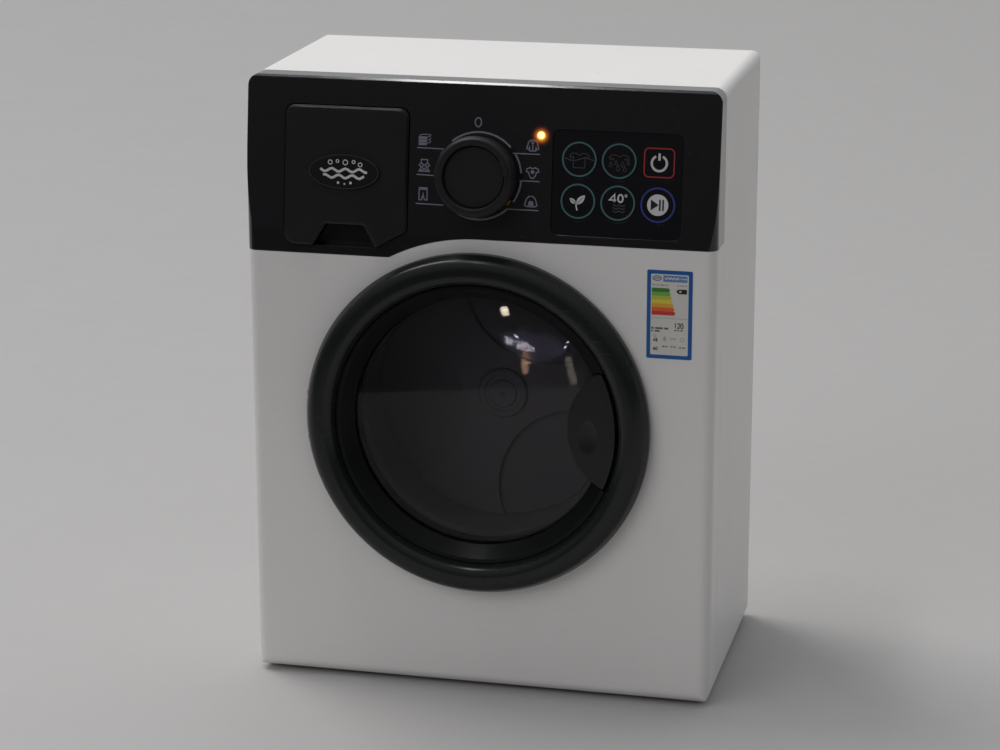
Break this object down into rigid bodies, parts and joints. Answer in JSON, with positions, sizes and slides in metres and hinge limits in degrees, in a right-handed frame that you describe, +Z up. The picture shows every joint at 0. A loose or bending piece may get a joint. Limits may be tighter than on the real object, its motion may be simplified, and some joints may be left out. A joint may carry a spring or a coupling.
{
  "type": "toy washing machine",
  "caption": "Front-loading play washing machine: white cabinet, dark leaning panel with selector knob, keys and detergent drawer, hinged porthole door and geared turning drum.",
  "frame": {"origin": "on the surface it stands on, under the middle of the whole object's box", "axes": "+Z up, -Y out of the door, +X to the right of someone facing the door"},
  "size_m": [0.19, 0.119, 0.2498],
  "materials": {
    "white_shell": "fine satin gloss injection moulding",
    "panel_black": "polished gloss",
    "overlay_black": "glossy printed film",
    "key_film": "glossy printed film",
    "white_inner": "as moulded",
    "seal_grey": "soft satin",
    "steel": "bright zinc",
    "brass": "plain turned",
    "board_green": "solder mask",
    "part_black": "as moulded",
    "led_orange": "lit lens",
    "cell_blue": "printed sleeve",
    "foot_grey": "matt pads",
    "sticker": "printed gloss film",
    "door_charcoal": "fine satin gloss",
    "funnel_charcoal": "satin",
    "window_smoke": "clear polished, smoked",
    "handle_grey": "satin",
    "drum_grey": "satin grey moulding",
    "gear_white": "natural acetal",
    "knob_black": "fine matt",
    "drawer_black": "satin",
    "badge_black": "gloss"
  },
  "bodies": {
    "cabinet": {"front_shell": "white_shell", "rear_shell": "white_shell", "control_panel": "panel_black", "key_overlay": "overlay_black", "drawer_sleeve": "part_black", "drum_tub": "white_inner", "door_seal": "seal_grey", "drum_bush": "brass", "gear_bracket": "white_inner", "idler_axle": "steel", "motor_can": "steel", "motor_screws": "steel", "control_board": "board_green", "selector_switch": "part_black", "keypad_mat": "seal_grey", "key_switches": "part_black", "status_led": "led_orange", "speaker": "part_black", "speaker_clips": "steel", "battery_contacts": "steel", "batteries": "cell_blue", "hinge_pin": "steel", "hinge_ears": "part_black", "feet": "foot_grey", "shell_screws": "steel", "board_screws": "steel", "front_sticker": "sticker"},
    "door": {"door_ring": "door_charcoal", "door_funnel": "funnel_charcoal", "door_window": "window_smoke", "window_retainer": "funnel_charcoal", "retainer_screws": "steel", "handle_pin": "steel", "handle_spring": "steel"},
    "handle": {"door_handle": "handle_grey", "catch_tongue": "handle_grey"},
    "drum": {"drum_shell": "drum_grey", "drum_back": "drum_grey", "hub_cap": "drum_grey", "drum_shaft": "steel", "drum_gear": "gear_white"},
    "idler": {"idler_gear": "gear_white"},
    "rotor": {"motor_shaft": "steel", "motor_pinion": "brass"},
    "knob": {"knob_shell": "knob_black", "knob_disc": "knob_black", "selector_shaft": "steel"},
    "drawer": {"drawer_front": "drawer_black", "drawer_tray": "drawer_black", "drawer_badge": "badge_black"},
    "battery_cover": {"battery_door": "white_shell", "battery_screw": "steel"},
    "key_wave": {"key_wave": "key_film"},
    "key_drops": {"key_drops": "key_film"},
    "key_power": {"key_power": "key_film"},
    "key_leaf": {"key_leaf": "key_film"},
    "key_forty": {"key_forty": "key_film"},
    "key_play": {"key_play": "key_film"}
  },
  "joints": [
    {"name": "door_hinge", "type": "hinge", "parent": "cabinet", "child": "door", "pos_m": [-0.0681, -0.0529, 0.1137], "axis": [0, 0, -1], "range_deg": [0, 100]},
    {"name": "handle_pull", "type": "hinge", "parent": "door", "child": "handle", "pos_m": [0.0526, -0.0509, 0.1137], "axis": [0, 0, 1], "range_deg": [0, 10], "stiffness_Nm_per_rad": 0.02},
    {"name": "drum_spin", "type": "hinge", "parent": "cabinet", "child": "drum", "pos_m": [0, -0.0105, 0.1137], "axis": [0, 1, 0], "continuous": true},
    {"name": "idler_spin", "type": "hinge", "parent": "cabinet", "child": "idler", "pos_m": [-0.024, 0.0135, 0.1137], "axis": [0, 1, 0], "continuous": true},
    {"name": "motor_spin", "type": "hinge", "parent": "cabinet", "child": "rotor", "pos_m": [-0.039, 0.0195, 0.1137], "axis": [0, 1, 0], "continuous": true},
    {"name": "knob_turn", "type": "hinge", "parent": "cabinet", "child": "knob", "pos_m": [0, -0.04702, 0.2138], "axis": [0, -0.9903, 0.1392], "continuous": true},
    {"name": "drawer_slide", "type": "slide", "parent": "cabinet", "child": "drawer", "axis": [0, -1, 0], "range_m": [0, 0.045]},
    {"name": "battery_cover_lift", "type": "slide", "parent": "cabinet", "child": "battery_cover", "axis": [0, 1, 0], "range_m": [0, 0.03]},
    {"name": "key_wave_press", "type": "slide", "parent": "cabinet", "child": "key_wave", "axis": [0, 0.9903, -0.1392], "range_m": [0, 0.0006], "stiffness_N_per_m": 250},
    {"name": "key_drops_press", "type": "slide", "parent": "cabinet", "child": "key_drops", "axis": [0, 0.9903, -0.1392], "range_m": [0, 0.0006], "stiffness_N_per_m": 250},
    {"name": "key_power_press", "type": "slide", "parent": "cabinet", "child": "key_power", "axis": [0, 0.9903, -0.1392], "range_m": [0, 0.0006], "stiffness_N_per_m": 250},
    {"name": "key_leaf_press", "type": "slide", "parent": "cabinet", "child": "key_leaf", "axis": [0, 0.9903, -0.1392], "range_m": [0, 0.0006], "stiffness_N_per_m": 250},
    {"name": "key_forty_press", "type": "slide", "parent": "cabinet", "child": "key_forty", "axis": [0, 0.9903, -0.1392], "range_m": [0, 0.0006], "stiffness_N_per_m": 250},
    {"name": "key_play_press", "type": "slide", "parent": "cabinet", "child": "key_play", "axis": [0, 0.9903, -0.1392], "range_m": [0, 0.0006], "stiffness_N_per_m": 250}
  ],
  "couplings": [
    {"joint": "idler_spin", "follows": "drum_spin", "ratio": -4},
    {"joint": "motor_spin", "follows": "drum_spin", "ratio": 16}
  ]
}
